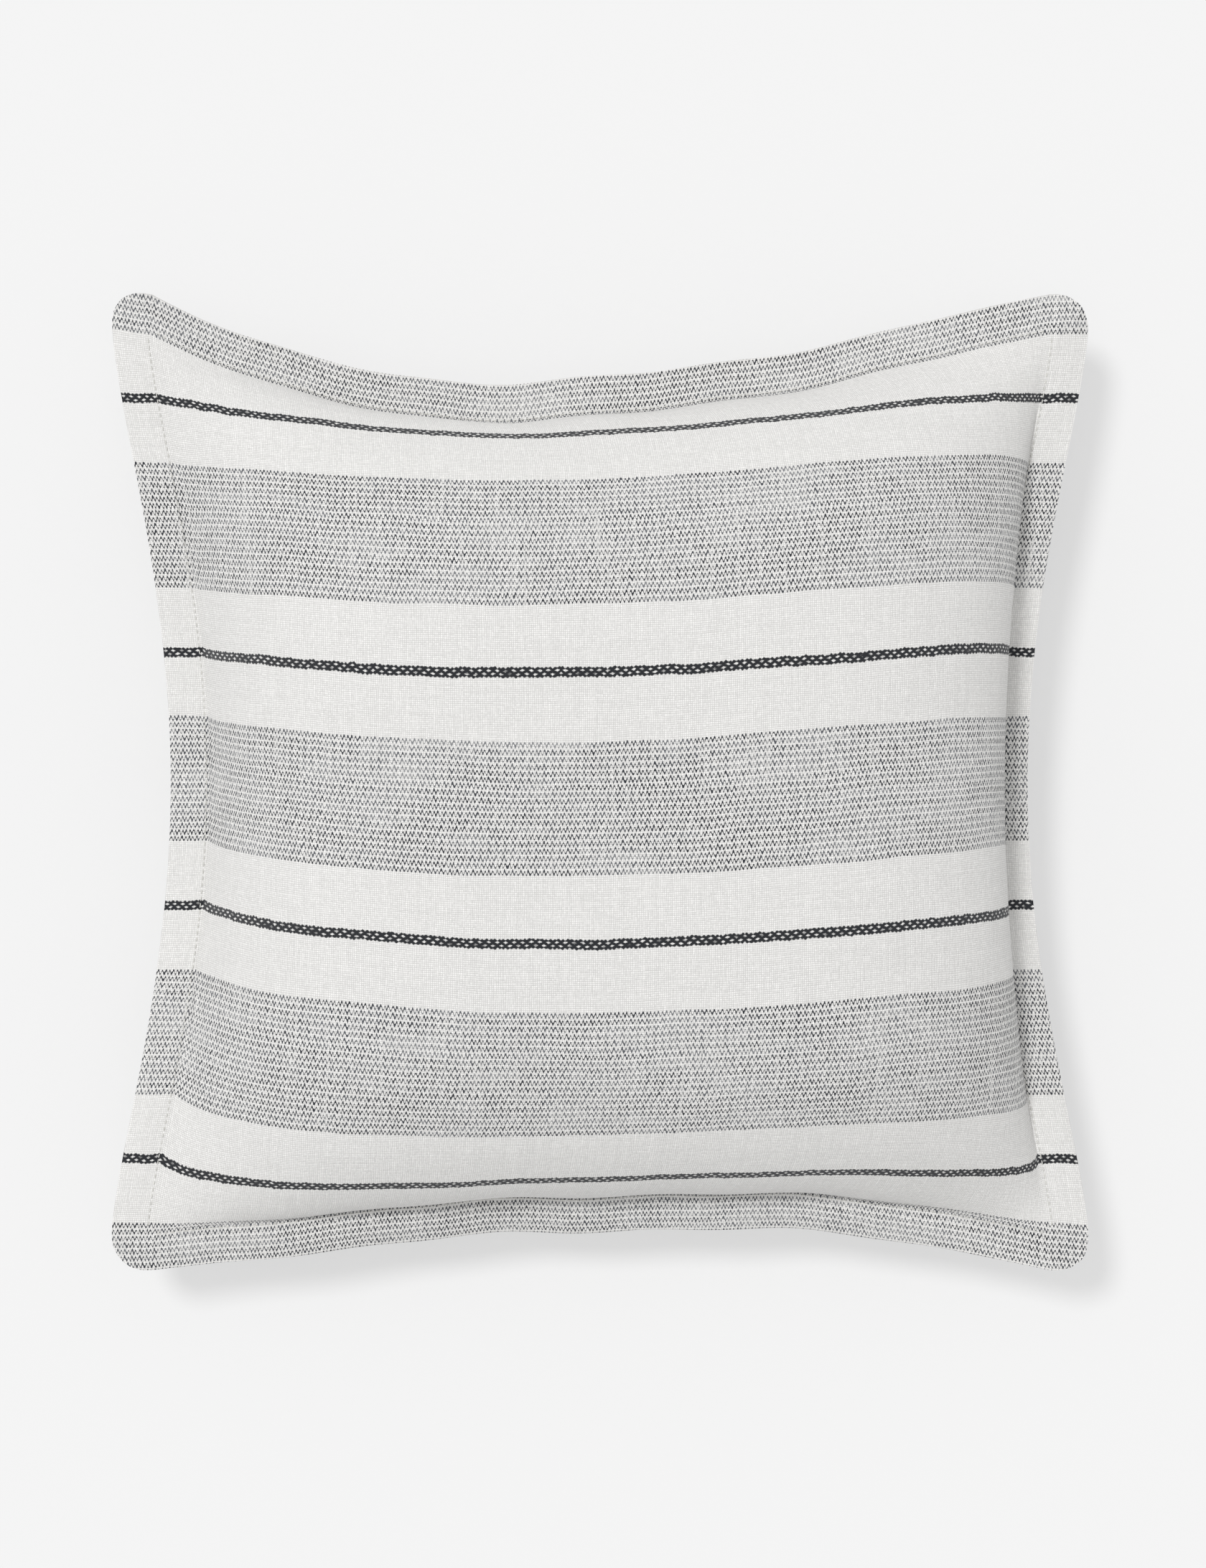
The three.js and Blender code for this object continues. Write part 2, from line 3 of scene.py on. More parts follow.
import bmesh
import bpy
import numpy as np
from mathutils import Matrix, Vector


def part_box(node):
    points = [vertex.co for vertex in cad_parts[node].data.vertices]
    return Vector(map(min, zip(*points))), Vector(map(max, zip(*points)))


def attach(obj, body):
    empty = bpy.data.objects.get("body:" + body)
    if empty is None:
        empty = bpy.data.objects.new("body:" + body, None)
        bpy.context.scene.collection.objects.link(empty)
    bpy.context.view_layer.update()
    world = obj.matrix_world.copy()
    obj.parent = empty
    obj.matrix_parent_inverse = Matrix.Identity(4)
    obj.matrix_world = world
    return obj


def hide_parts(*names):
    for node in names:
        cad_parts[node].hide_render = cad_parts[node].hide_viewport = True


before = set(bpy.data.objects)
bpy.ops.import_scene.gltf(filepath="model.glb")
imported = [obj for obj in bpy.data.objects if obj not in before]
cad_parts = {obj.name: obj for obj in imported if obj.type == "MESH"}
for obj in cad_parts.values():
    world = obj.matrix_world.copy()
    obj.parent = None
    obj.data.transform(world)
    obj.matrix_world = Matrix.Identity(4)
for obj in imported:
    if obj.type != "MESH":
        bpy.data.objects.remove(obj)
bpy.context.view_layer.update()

MM = 0.001
BODY = "pillow"

# ---------------------------------------------------------------- sizes, in mm unless named otherwise
CUT = 508.0  # the cover as cut, flange included
FLANGE = 20.0
CLOTH = 0.8
PLY_GAP = 0.3
TIP_RADIUS = 17.0
TIP_LIFT = 0.25  # how far the flange's tips carry on the line of the top and bottom seams
SEWN = CUT - 2 * FLANGE  # seam to seam, flat
SEAM_HALF = 230.0  # centre to the seam's corner, stuffed
PULL_LEFT, PULL_RIGHT = 30.0, 31.0
PULL_TOP, PULL_BOTTOM = 43.0, 19.5
SEAM_Z = 60.0
CROWN = 90.0
BACK_DEPTH = 60.0
BACK_FLATNESS = 2.2
PROFILE_POWER = 3.1
STEEPEST = math.radians(92)
SIDE_PULL_POWER = 1.4
PULL_SKEW = 0.43  # the top is drawn in most to the left of its middle, and the bottom to the right
SETTLED = (20.0, -4.0)  # how far the filling has settled to the right and down
LEAN_POWER = 0.35
LEAN_START = 0.06  # softens the lean's start, so the cloth isn't stretched by the seam
PUCKERS = [(1.3, 8.0, 1.0), (0.8, 19.0, 2.6)]  # in the top and bottom seams: size, waves along them, phase
WEFT_CREEP = (1.5, -5.0, 10.0)  # by powers of the place across the panel
LOW_CREEP = (3.0, -10.0)
SHARP_FROM = math.radians(50)
FLANGE_DROOP = 2.0
HANG = math.radians(16)  # of the bottom side's flange
FLANGE_RIPPLES = [(0.9, 9, 0.4), (0.6, 17, 1.9), (0.35, 31, 4.0)]  # height, waves round the edge, phase

# Grid of cells over the sewn panel, and across the flange.
CELLS = 90
FLANGE_CELLS = 5
FILL_HOLD = 0.25  # keeps the simulated cloth within a fraction of a mm of the target shape
SETTLE_FRAMES = 24

# The insert, and the room over the zip.
INSERT_INSET = 12.0
INSERT_CELLS = 48
CASE_CLOTH = 0.5
ZIP_Y = -80.0
ZIP_END = 150.0
LAP_EDGE = -91.0
LAP_SLIT = 0.4
FOLD_END = 159.0
FOLD_REACH = 13.0
FOLD_TOP = 6.1
CHAIN_Z = 6.65
ZIP_ROOM_X = 163.0
ZIP_ROOM_Y = 20.0
ZIP_ROOM_EASE = 14.0
ZIP_ROOM_TOP = 9.3

# Stitches: length, gap, radius of the thread.
STITCH = (2.6, 0.9, 0.3)
TACK_STITCH = (1.5, 0.05, 0.25)
OVERLOCK_STITCH = (3.4, 0.3, 0.35)
ROW_OUTSIDE_SEAM = 1.5
TACK_TURNS = 14
ZIP_TAIL = 8.0
TAPE_INNER, TAPE_OUTER = 2.4, 14.0  # a tape's edges, from the zip's middle
TAPE_CLOTH = 0.5
LABEL_CLOTH = 0.4

# Stripes, measured from the bottom edge of the cut cloth.
STRIPE_PERIOD = 132.0
GREY_START = 91.0
GREY_WIDTH = 66.0
STRIPE_EDGE = 0.5
LINE_AT = 58.0
LINE_WIDTH = 5.9
ROW = 3.47  # two grey picks and a white one
WARP = 0.95
WEFT = 1.03
ZIGZAG = 0.84  # how far the grey yarn goes up and down in its row
TALL_PICK = 0.18  # more at every second one
GREY_YARN = 0.73  # half its width there
YARN_EDGE = 0.35
CHAIN = 4.1  # repeat of the charcoal line's pattern
LINK_ROW = 0.85  # from the line's middle to each row of links
LINK_HALF_LENGTH = 1.3
LINK_HALF_WIDTH = 0.75


def linear(*srgb):
    """An sRGB colour of 0 to 255 as linear RGBA."""
    out = []
    for value in srgb:
        c = value / 255
        out.append(c / 12.92 if c <= 0.04045 else ((c + 0.055) / 1.055) ** 2.4)
    return (*out, 1.0)


# ---------------------------------------------------------------- camera, lights and floor
FRAME_MM = 803.2  # height of the picture at the seam plane
CAMERA_ABOVE = 2000.0
SENSOR_MM = 36.0
SKY = 0.63
LAMPS = [  # name, sun strength, spread in degrees, where it stands
    ("key", 1.5, 13, (-0.36, 0.38, 1.0)),
    ("front", 0.25, 40, (-0.05, 0.0, 1.0)),
]
FLOOR_SIDE = 8.0  # metres, from the middle
FLOOR_DIFFUSE = 0.42
FLOOR_GLOW = 0.436  # the floor of a light table


def studio():
    scene = bpy.context.scene
    scene.view_settings.view_transform = "Standard"
    camera = bpy.data.objects.new("camera", bpy.data.cameras.new("camera"))
    camera.data.sensor_width = SENSOR_MM
    camera.data.lens = SENSOR_MM * CAMERA_ABOVE / FRAME_MM
    camera.location = (1.5 * MM, -0.9 * MM, (SEAM_Z + CAMERA_ABOVE) * MM)
    scene.collection.objects.link(camera)
    scene.camera = camera

    world = bpy.data.worlds.new("world")
    world.use_nodes = True
    world.node_tree.nodes["Background"].inputs["Color"].default_value = (1.0, 1.0, 1.0, 1.0)
    world.node_tree.nodes["Background"].inputs["Strength"].default_value = SKY
    scene.world = world

    for name, strength, spread, towards in LAMPS:
        lamp = bpy.data.objects.new(name, bpy.data.lights.new(name, "SUN"))
        lamp.data.energy = strength
        lamp.data.angle = math.radians(spread)
        lamp.rotation_euler = Vector(towards).to_track_quat("Z", "Y").to_euler()
        scene.collection.objects.link(lamp)

    side = FLOOR_SIDE
    mesh = bpy.data.meshes.new("floor")
    corners = [(-side, -side, 0), (side, -side, 0), (side, side, 0), (-side, side, 0)]
    mesh.from_pydata(corners, [], [(0, 1, 2, 3)])
    floor = bpy.data.objects.new("floor", mesh)
    floor.location.z = -0.0002
    scene.collection.objects.link(floor)
    material = bpy.data.materials.new("floor")
    material.use_nodes = True
    shader = material.node_tree.nodes["Principled BSDF"]
    shader.inputs["Base Color"].default_value = (FLOOR_DIFFUSE, FLOOR_DIFFUSE, FLOOR_DIFFUSE, 1)
    shader.inputs["Roughness"].default_value = 0.9
    shader.inputs["Specular IOR Level"].default_value = 0.0
    shader.inputs["Emission Color"].default_value = (1, 1, 1, 1)
    shader.inputs["Emission Strength"].default_value = FLOOR_GLOW
    mesh.materials.append(material)


# ---------------------------------------------------------------- node helper
class Nodes:
    """Builds a material from arithmetic: every method returns a socket."""

    def __init__(self, name):
        self.material = bpy.data.materials.new(name)
        self.material.use_nodes = True
        self.tree = self.material.node_tree
        self.shader = self.tree.nodes["Principled BSDF"]

    def node(self, kind, **settings):
        node = self.tree.nodes.new(kind)
        for key, value in settings.items():
            setattr(node, key, value)
        return node

    def put(self, socket, value):
        if isinstance(value, bpy.types.NodeSocket):
            self.tree.links.new(value, socket)
        else:
            socket.default_value = value

    def math(self, operation, *values, clamp=False):
        node = self.node("ShaderNodeMath", operation=operation, use_clamp=clamp)
        for socket, value in zip(node.inputs, values):
            self.put(socket, value)
        return node.outputs[0]

    def add(self, a, b):
        return self.math("ADD", a, b)

    def sub(self, a, b):
        return self.math("SUBTRACT", a, b)

    def mul(self, a, b):
        return self.math("MULTIPLY", a, b)

    def cosine(self, value, period):
        """cos of value, repeating every period."""
        return self.math("COSINE", self.mul(value, 2 * math.pi / period))

    def ramp(self, value, low, high):
        """0 below low and 1 above high, smooth between; high may be the lower one."""
        node = self.node("ShaderNodeMapRange", interpolation_type="SMOOTHSTEP")
        self.put(node.inputs["Value"], value)
        node.inputs["From Min"].default_value = low
        node.inputs["From Max"].default_value = high
        return node.outputs["Result"]

    def mix(self, factor, a, b):
        node = self.node("ShaderNodeMix", data_type="RGBA")
        self.put(node.inputs["Factor"], factor)
        self.put(node.inputs["A"], a)
        self.put(node.inputs["B"], b)
        return node.outputs["Result"]

    def blend(self, factor, a, b):
        node = self.node("ShaderNodeMix", data_type="FLOAT")
        self.put(node.inputs["Factor"], factor)
        self.put(node.inputs["A"], a)
        self.put(node.inputs["B"], b)
        return node.outputs["Result"]

    def vector(self, x, y, z=0.0):
        node = self.node("ShaderNodeCombineXYZ")
        for socket, value in zip(node.inputs, (x, y, z)):
            self.put(socket, value)
        return node.outputs[0]

    def noise(self, vector, scale, detail=2.0, roughness=0.5):
        node = self.node("ShaderNodeTexNoise")
        self.put(node.inputs["Vector"], vector)
        node.inputs["Scale"].default_value = scale
        node.inputs["Detail"].default_value = detail
        node.inputs["Roughness"].default_value = roughness
        return node.outputs[0]

    def chance(self, vector):
        """A number of 0 to 1 by chance, the same wherever the vector is the same."""
        node = self.node("ShaderNodeTexWhiteNoise", noise_dimensions="3D")
        self.put(node.inputs["Vector"], vector)
        return node.outputs["Value"]

    def bump(self, height, distance, strength=1.0):
        node = self.node("ShaderNodeBump")
        node.inputs["Strength"].default_value = strength
        node.inputs["Distance"].default_value = distance
        self.put(node.inputs["Height"], height)
        self.put(self.shader.inputs["Normal"], node.outputs[0])

    def set(self, **values):
        names = {
            "color": "Base Color",
            "roughness": "Roughness",
            "metallic": "Metallic",
            "specular": "Specular IOR Level",
            "sheen": "Sheen Weight",
            "sheen_roughness": "Sheen Roughness",
        }
        for key, value in values.items():
            self.put(self.shader.inputs[names[key]], value)
        return self.material


CLOTH_PLACE = "cloth_place"  # attribute: where a point was on the flat cloth, in mm, and the layer


def striped_cloth():
    """Coarse plain weave: white ground, heathered grey stripes in rows of zigzag picks with a
    white pick between, and a charcoal chain line in the middle of each white stripe."""
    n = Nodes("striped_cloth")
    place = n.node("ShaderNodeAttribute", attribute_name=CLOTH_PLACE)
    split = n.node("ShaderNodeSeparateXYZ")
    n.put(split.inputs[0], place.outputs["Vector"])
    p0, q0 = split.outputs[0], split.outputs[1]

    # Yarns wander a little, and drift together over some centimetres.
    coarse = n.noise(n.vector(p0, q0), 0.02, 2.0)
    fine = n.noise(n.vector(n.mul(p0, 0.3), q0), 0.5, 2.0)
    q = n.add(q0, n.add(n.mul(n.sub(coarse, 0.5), 3.0), n.mul(n.sub(fine, 0.5), 0.7)))
    sway = n.noise(n.vector(p0, n.mul(q0, 0.25), 7.0), 0.35, 2.0)
    p = n.add(p0, n.mul(n.sub(sway, 0.5), 1.5))

    # Where in the stripe period.
    in_period = n.math("FLOORED_MODULO", n.sub(q, GREY_START), STRIPE_PERIOD)
    grey_starts = n.ramp(in_period, 0.0, STRIPE_EDGE)
    grey_ends = n.ramp(in_period, GREY_WIDTH, GREY_WIDTH - STRIPE_EDGE)
    grey_on = n.mul(grey_starts, grey_ends)
    line_at = (LINE_AT - GREY_START) % STRIPE_PERIOD
    wobble = n.noise(n.vector(n.mul(p0, 0.22), 11.0, n.mul(q0, 0.01)), 1.0, 1.0)
    from_line = n.sub(in_period, n.add(line_at, n.mul(n.sub(wobble, 0.5), 1.8)))

    # A row of the grey stripe: a zigzag of grey over the white warps, then one white pick.
    row_index = n.math("FLOOR", n.math("DIVIDE", in_period, ROW))
    in_row = n.math("FLOORED_MODULO", in_period, ROW)
    row_start = n.noise(n.vector(n.mul(row_index, 5.3), 0.0, 41.0), 1.0, 0.0)
    tall_pick = n.cosine(n.add(p, n.mul(row_start, 9.0)), 4 * WARP)
    swing = n.mul(n.cosine(n.add(p, n.mul(row_start, 2.0)), 2 * WARP), 1.35)
    swing = n.math("MAXIMUM", -1.0, n.math("MINIMUM", 1.0, swing))
    zigzag = n.add(n.mul(swing, ZIGZAG), n.mul(tall_pick, TALL_PICK))
    off_pick = n.math("ABSOLUTE", n.sub(n.sub(in_row, ROW / 2 - 0.1), zigzag))
    thick_yarn = n.noise(n.vector(n.mul(p0, 0.35), n.mul(row_index, 3.1), 1.0), 1.0, 2.0)
    reach = n.add(n.add(GREY_YARN, n.mul(tall_pick, 0.18)), n.mul(n.sub(thick_yarn, 0.5), 0.8))
    inside_yarn = n.math("DIVIDE", n.sub(reach, off_pick), YARN_EDGE)
    on_pick = n.math("SMOOTH_MIN", 1.0, n.math("MAXIMUM", 0.0, inside_yarn), 0.1)

    # Some warps are thicker and show white through the grey.
    warp_noise = n.noise(n.vector(n.mul(p0, 0.55), n.mul(q0, 0.012), 15.0), 1.0, 1.0)
    white_warp = n.ramp(warp_noise, 0.62, 0.75)

    # Heather: each row's yarn is darker or lighter over some centimetres, with short slubs.
    along = n.noise(n.vector(n.mul(p0, 0.012), n.mul(row_index, 1.7), 3.0), 1.0, 3.0, 0.6)
    slub = n.noise(n.vector(n.mul(p0, 0.06), n.mul(row_index, 2.3), 9.0), 1.0, 3.0, 0.65)
    patch = n.noise(n.vector(n.mul(p0, 0.6), q0, 21.0), 0.03, 3.0)
    heather = n.add(n.add(n.mul(along, 0.6), n.mul(slub, 0.7)), n.mul(patch, 0.7))
    depth = n.ramp(heather, 0.85, 1.15)
    grey_yarn = n.mix(depth, linear(98, 101, 107), linear(44, 47, 54))
    paler = n.ramp(heather, 1.0, 0.72)
    white_share = n.math("MAXIMUM", n.mul(white_warp, 0.55), n.mul(paler, 0.25))
    grey_share = n.mul(n.mul(grey_on, on_pick), n.blend(white_share, 1.0, 0.0))

    # Charcoal line: a chain, with white showing through two staggered rows of links.
    scallop = n.mul(n.cosine(p, CHAIN / 2), 0.25)
    line_noise = n.noise(n.vector(n.mul(p0, 0.4), 3.0, 5.0), 1.0, 2.0)
    half_line = n.add(n.add(scallop, LINE_WIDTH / 2 - 0.35), n.mul(n.sub(line_noise, 0.5), 1.4))
    line_on = n.math("MULTIPLY", n.sub(half_line, n.math("ABSOLUTE", from_line)), 2.2, clamp=True)
    link = None
    for side in (-1, 1):
        in_link = n.math("FLOORED_MODULO", n.add(p, side * CHAIN / 4), CHAIN)
        across_link = n.math("ABSOLUTE", n.sub(in_link, CHAIN / 2))
        from_row = n.math("ABSOLUTE", n.sub(from_line, side * LINK_ROW))
        apart = n.add(n.mul(across_link, 1 / LINK_HALF_LENGTH), n.mul(from_row, 1 / LINK_HALF_WIDTH))
        hole = n.ramp(apart, 1.15, 0.55)
        link = hole if link is None else n.math("MAXIMUM", link, hole)
    link_noise = n.noise(n.vector(n.mul(p0, 0.15), n.mul(q0, 0.3), 25.0), 1.0, 2.0)
    line_ink = n.sub(1.0, n.mul(link, n.ramp(link_noise, 0.25, 0.55)))
    line_share = n.mul(line_on, line_ink)

    # Ground: white yarn with painted shade in the gaps of the weave, with thicker and thinner yarns.
    up = n.math("ABSOLUTE", n.math("SINE", n.mul(p, math.pi / WARP)))
    over = n.math("ABSOLUTE", n.math("SINE", n.mul(q, math.pi / WEFT)))
    yarn_height = n.math("POWER", n.mul(up, over), 0.5)
    thick = n.noise(n.vector(n.mul(p0, 0.7), n.mul(q0, 0.03), 2.0), 1.0, 2.0)
    thin = n.noise(n.vector(n.mul(p0, 0.03), n.mul(q0, 0.7), 4.0), 1.0, 2.0)
    streak = n.ramp(n.add(thick, thin), 0.75, 1.25)
    # Painted shade: the ground colour is darker where yarn_height is low, in the gaps between the yarns.
    ground = n.mix(yarn_height, linear(208, 207, 205), linear(251, 250, 248))
    warp_number = n.math("FLOOR", n.math("DIVIDE", p, WARP))
    weft_number = n.math("FLOOR", n.math("DIVIDE", q, WEFT))
    each_warp = n.chance(n.vector(warp_number, n.math("FLOOR", n.mul(q0, 0.03)), 1.0))
    each_weft = n.chance(n.vector(n.math("FLOOR", n.mul(p0, 0.03)), weft_number, 2.0))
    each_crossing = n.chance(n.vector(warp_number, weft_number, 3.0))
    grain = n.add(n.add(n.mul(each_warp, 0.22), n.mul(each_weft, 0.18)), n.mul(each_crossing, 0.6))
    ground = n.mix(n.mul(grain, 0.42), ground, linear(188, 187, 185))
    ground = n.mix(n.mul(streak, 0.5), n.mix(0.12, ground, linear(190, 189, 186)), ground)

    color = n.mix(grey_share, ground, grey_yarn)
    color = n.mix(line_share, color, linear(36, 38, 42))
    row_height = n.mul(grey_on, n.mul(on_pick, 0.8))
    line_height = n.mul(line_share, 0.9)
    weave_height = n.add(n.mul(yarn_height, 0.7), n.add(n.mul(streak, 0.25), n.mul(grain, 0.9)))
    n.bump(n.add(weave_height, n.add(row_height, line_height)), 0.0004, 0.6)
    roughness = n.blend(yarn_height, 0.95, 0.82)
    return n.set(color=color, roughness=roughness, specular=0.15, sheen=0.2, sheen_roughness=0.6)


def plain_yarn(name, color, pitch=0.6, bump=0.0001):
    """Twisted thread or a fine plain weave, in object space."""
    n = Nodes(name)
    geometry = n.node("ShaderNodeTexCoord")
    split = n.node("ShaderNodeSeparateXYZ")
    n.put(split.inputs[0], geometry.outputs["Object"])
    x = n.mul(split.outputs[0], 1 / MM)
    y = n.mul(split.outputs[1], 1 / MM)
    z = n.mul(split.outputs[2], 1 / MM)
    twist = n.mul(n.cosine(n.add(x, z), pitch), n.cosine(n.sub(y, z), pitch))
    cloud = n.noise(n.vector(x, y, z), 0.08, 3.0)
    # Painted shade in the grooves of the twist, with a cloud of random tone: darker where the twist pattern
    # is low.
    shade = n.add(n.mul(twist, 0.25), cloud)
    dark = tuple(c * 0.8 for c in color[:3]) + (1.0,)
    n.bump(twist, bump, 0.5)
    return n.set(color=n.mix(n.ramp(shade, 0.2, 0.8), dark, color), roughness=0.9, specular=0.15, sheen=0.15)


def hard_finish(name, color, metallic, roughness):
    n = Nodes(name)
    geometry = n.node("ShaderNodeTexCoord")
    wear = n.noise(geometry.outputs["Object"], 900.0, 3.0)
    scratch = n.noise(geometry.outputs["Object"], 4000.0, 2.0)
    light = tuple(min(1.0, c * 1.25) for c in color[:3]) + (1.0,)
    n.bump(scratch, 0.00002, 0.3)
    mixed = n.mix(n.ramp(wear, 0.35, 0.7), color, light)
    return n.set(color=mixed, roughness=n.blend(wear, roughness * 0.8, roughness * 1.3), metallic=metallic)


# ---------------------------------------------------------------- the stuffed shape
def slope_law():
    """Across half a panel, from the middle (0) to the seam (1): how far out and how high the
    cloth is, as shares. The slope grows with a power of the distance along the cloth, so the
    top is broad and the sides are steep."""
    along = np.linspace(0, 1, 400)
    angle = STEEPEST * along**PROFILE_POWER
    out = np.concatenate([[0], np.cumsum(np.cos((angle[1:] + angle[:-1]) / 2))])
    down = np.concatenate([[0], np.cumsum(np.sin((angle[1:] + angle[:-1]) / 2))])
    return along, out / out[-1], 1 - down / down[-1]


ALONG, OUT, RISE = slope_law()


def across(s):
    return np.sign(s) * np.interp(np.abs(s), ALONG, OUT)


def rise(s):
    return np.interp(np.abs(s), ALONG, RISE)


def plan(s, t, seam_half, swell):
    """Seam-plane place of the cloth's point (s, t). Each side is drawn in between its corners;
    swell is 1 where the cloth follows the slope law, and 0 where it is spread evenly."""
    wide, tall = 1 - t * t, 1 - s * s
    left = seam_half - PULL_LEFT * wide**SIDE_PULL_POWER
    right = seam_half - PULL_RIGHT * wide**SIDE_PULL_POWER
    top = seam_half - PULL_TOP * tall * (1 - PULL_SKEW * s)
    bottom = seam_half - PULL_BOTTOM * tall * (1 + PULL_SKEW * s)
    x = (right - left) / 2 + (right + left) / 2 * (s + (across(s) - s) * wide * swell)
    y = (top - bottom) / 2 + (top + bottom) / 2 * (t + (across(t) - t) * tall * swell)
    pucker = sum(size * np.sin(turns * s + phase) for size, turns, phase in PUCKERS)
    y = y + pucker * tall * np.sign(t) * np.abs(t) ** 8
    return x, y


def drift(s, t):
    """How far up the cloth's weft has crept on the filling, in mm."""
    low = np.clip((-t - 0.4) / 0.44, 0, 1)
    middle = (1 - s * s) * (WEFT_CREEP[0] + WEFT_CREEP[1] * s + WEFT_CREEP[2] * s * s)
    bottom = (1 - s**12) * (LOW_CREEP[0] + LOW_CREEP[1] * s * s)
    return (middle * (1 - low) + bottom * low) * (1 - t**12)


def belly(s, t, seam_half=SEAM_HALF, crown=CROWN):
    """The front of a stuffed panel, in mm above the seam plane, settled a little to one side."""
    x, y = plan(s, t, seam_half, 1.0)
    full = rise(s) * rise(t)
    start = LEAN_START**LEAN_POWER
    lean = ((full + LEAN_START) ** LEAN_POWER - start) / ((1 + LEAN_START) ** LEAN_POWER - start)
    return np.stack([x + SETTLED[0] * lean, y + SETTLED[1] * full**0.5 + drift(s, t), crown * full], -1)


def back_spread():
    """Across half the back, from the middle (0) to the seam (1): the place at each share of the
    way along the cloth."""
    place = np.sin(np.linspace(0, math.pi / 2, 600))
    drop = BACK_DEPTH * np.minimum(1, BACK_FLATNESS * np.sqrt(np.clip(1 - place**2, 0, None)))
    width = SEAM_HALF - PULL_LEFT
    far = np.concatenate([[0], np.cumsum(np.hypot(np.diff(place) * width, np.diff(drop)))])
    return far / far[-1], place


BACK_ALONG, BACK_OUT = back_spread()


def across_back(s):
    return np.sign(s) * np.interp(np.abs(s), BACK_ALONG, BACK_OUT)


def underside(s, t, seam_half=SEAM_HALF, depth=BACK_DEPTH):
    """The back of a stuffed panel, in mm from the seam plane down: it lies flat over most of its width."""
    u = s + (across_back(s) - s) * (1 - t * t)
    v = t + (across_back(t) - t) * (1 - s * s)
    x, y = plan(u, v, seam_half, 0.0)
    dome = np.sqrt(np.clip((1 - u * u) * (1 - v * v), 0, None))
    return np.stack([x, y, -depth * np.minimum(1, BACK_FLATNESS * dome)], -1)


def grid_axis(cells, flange_cells=0):
    """Grid lines from -1 to 1 over the sewn panel, and then in whole steps of the flange."""
    inner = np.linspace(-1, 1, cells + 1)
    steps = np.arange(1, flange_cells + 1) / max(flange_cells, 1)
    return np.concatenate([-1 - steps[::-1], inner, 1 + steps])


def flange_offset(s, t):
    """How far past the seam a flange point lies, with the tips of the flange rounded."""
    out_x = np.clip(np.abs(s) - 1, 0, 1) * FLANGE
    out_y = np.clip(np.abs(t) - 1, 0, 1) * FLANGE
    past_x, past_y = out_x - (FLANGE - TIP_RADIUS), out_y - (FLANGE - TIP_RADIUS)
    both = (past_x > 0) & (past_y > 0)
    reach = np.where(both, np.maximum(past_x, past_y) / np.maximum(np.hypot(past_x, past_y), 1e-6), 1.0)
    out_x = np.where(both, FLANGE - TIP_RADIUS + past_x * reach, out_x)
    out_y = np.where(both, FLANGE - TIP_RADIUS + past_y * reach, out_y)
    return np.sign(s) * out_x, np.sign(t) * out_y


def with_flange(inner, layer_z):
    """A sewn panel's grid of points with its flange round it."""
    axis = grid_axis(CELLS, FLANGE_CELLS)
    s, t = np.meshgrid(axis, axis)
    column = np.clip(np.round((np.clip(s, -1, 1) + 1) / 2 * CELLS), 0, CELLS).astype(int)
    row = np.clip(np.round((np.clip(t, -1, 1) + 1) / 2 * CELLS), 0, CELLS).astype(int)
    points = inner[row, column].copy()
    out_x, out_y = flange_offset(s, t)
    past = np.maximum(np.abs(out_x), np.abs(out_y))
    hang = HANG * np.clip(-out_y / FLANGE, 0, 1) * np.clip(1 - s**4, 0, 1)
    points[..., 0] += out_x
    points[..., 1] += out_y * np.cos(hang)
    points[..., 2] -= np.abs(out_y) * np.sin(hang)
    near_corner = np.clip((np.abs(t) - 0.7) / 0.3, 0, 1) ** 2
    top_pull = PULL_TOP * (1 - PULL_SKEW * s) * (t > 0)
    bottom_pull = PULL_BOTTOM * (1 + PULL_SKEW * s) * (t < 0)
    slope = 2 * (top_pull + bottom_pull) / SEAM_HALF
    points[..., 1] += np.sign(t) * TIP_LIFT * slope * np.abs(out_x) * near_corner
    round_it = np.arctan2(t, s)
    ripple = sum(size * np.sin(turns * round_it + phase) for size, turns, phase in FLANGE_RIPPLES)
    sag = ripple * past / FLANGE - FLANGE_DROOP * (past / FLANGE) ** 2
    points[..., 2] += layer_z + np.where(past > 0, sag, 0)
    cloth_x = np.clip(s, -1, 1) * SEWN / 2 + out_x
    cloth_y = np.clip(t, -1, 1) * SEWN / 2 + out_y
    places = np.stack([cloth_x + CUT / 2, cloth_y + CUT / 2, 0 * s], -1)
    return points, places


def make_mesh(name, points, faces, places=None):
    """A mesh object from points in mm, with each point's place on the flat cloth."""
    mesh = bpy.data.meshes.new(name)
    mesh.from_pydata((np.asarray(points).reshape(-1, 3) * MM).tolist(), [], faces)
    if places is not None:
        layer = mesh.attributes.new(CLOTH_PLACE, "FLOAT_VECTOR", "POINT")
        layer.data.foreach_set("vector", np.ascontiguousarray(places, np.float32).ravel())
    mesh.shade_smooth()
    made = bpy.data.objects.new(name, mesh)
    bpy.context.scene.collection.objects.link(made)
    return made


def grid_faces(columns, rows, turned=False):
    faces = []
    for j in range(rows - 1):
        for i in range(columns - 1):
            a = j * columns + i
            face = (a, a + 1, a + 1 + columns, a + columns)
            faces.append(face[::-1] if turned else face)
    return faces


def thicken(piece, thickness):
    """Gives a sheet its thickness, inwards from its outer face."""
    solid = piece.modifiers.new("thickness", "SOLIDIFY")
    solid.thickness = thickness * MM
    solid.offset = -1
    apply_modifiers(piece)
    piece.data.set_sharp_from_angle(angle=SHARP_FROM)


def apply_modifiers(piece):
    evaluated = piece.evaluated_get(bpy.context.evaluated_depsgraph_get())
    mesh = bpy.data.meshes.new_from_object(evaluated)
    piece.modifiers.clear()
    piece.data = mesh


